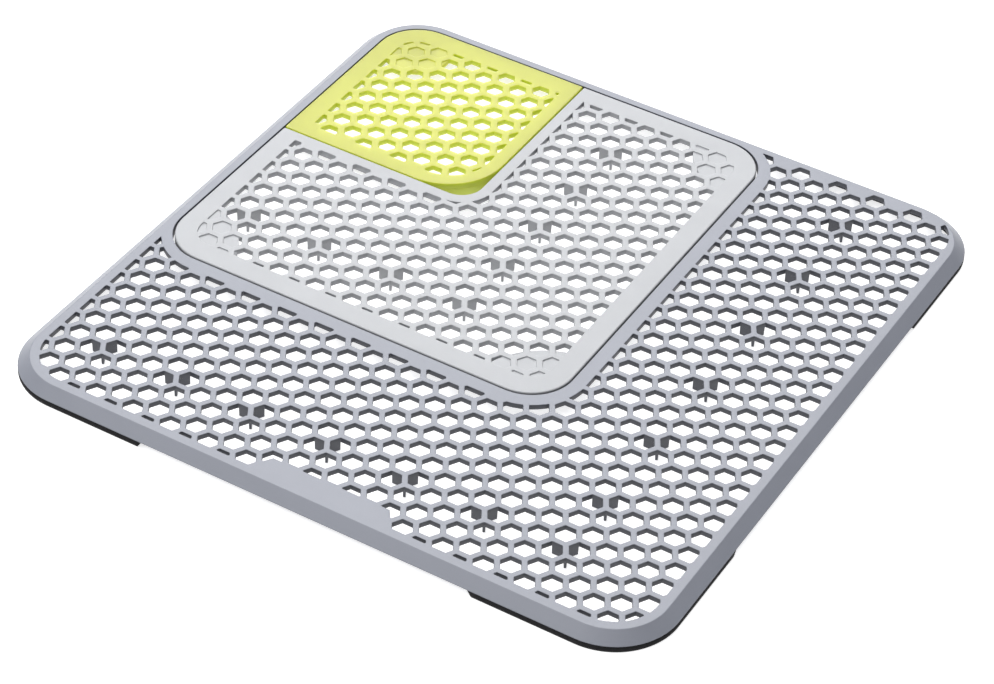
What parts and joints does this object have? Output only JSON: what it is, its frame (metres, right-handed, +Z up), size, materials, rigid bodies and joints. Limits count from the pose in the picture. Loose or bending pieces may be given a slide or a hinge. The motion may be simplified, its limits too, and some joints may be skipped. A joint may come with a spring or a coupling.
{
  "type": "nesting sink mat set",
  "caption": "Flat square honeycomb sink mat with an L-shaped mat and a small square mat nested in its corner, on rubber feet.",
  "frame": {"origin": "centre of the large mat's footprint, on the worktop that the mats stand on", "axes": "+Z up; -Y the long front edge with the blank plate; +X to the right, away from the recess; the recess is at the back left corner"},
  "size_m": [0.3, 0.31, 0.0075],
  "materials": {
    "large_mat_plastic": "satin moulded mid grey plastic",
    "medium_mat_plastic": "satin moulded light grey plastic",
    "small_mat_plastic": "satin moulded lime green plastic",
    "black_rubber": "matt black rubber"
  },
  "bodies": {
    "large_mat": {"large_rim": "large_mat_plastic", "large_recess_frame": "large_mat_plastic", "large_front_grid": "large_mat_plastic", "large_side_grid": "large_mat_plastic", "large_feet": "large_mat_plastic", "strip_front_left": "black_rubber", "strip_front_right": "black_rubber", "strip_back_left": "black_rubber", "strip_back_right": "black_rubber"},
    "medium_mat": {"medium_rim": "medium_mat_plastic", "medium_front_grid": "medium_mat_plastic", "medium_side_grid": "medium_mat_plastic", "medium_feet": "medium_mat_plastic", "medium_pad_left": "black_rubber", "medium_pad_front": "black_rubber", "medium_pad_right": "black_rubber"},
    "small_mat": {"small_rim": "small_mat_plastic", "small_grid": "small_mat_plastic", "small_pad": "black_rubber"}
  },
  "joints": [
    {"name": "medium_lift", "type": "slide", "parent": "large_mat", "child": "medium_mat", "axis": [0, 0, 1], "range_m": [0, 0.04]},
    {"name": "small_lift", "type": "slide", "parent": "large_mat", "child": "small_mat", "axis": [0, 0, 1], "range_m": [0, 0.08]}
  ]
}
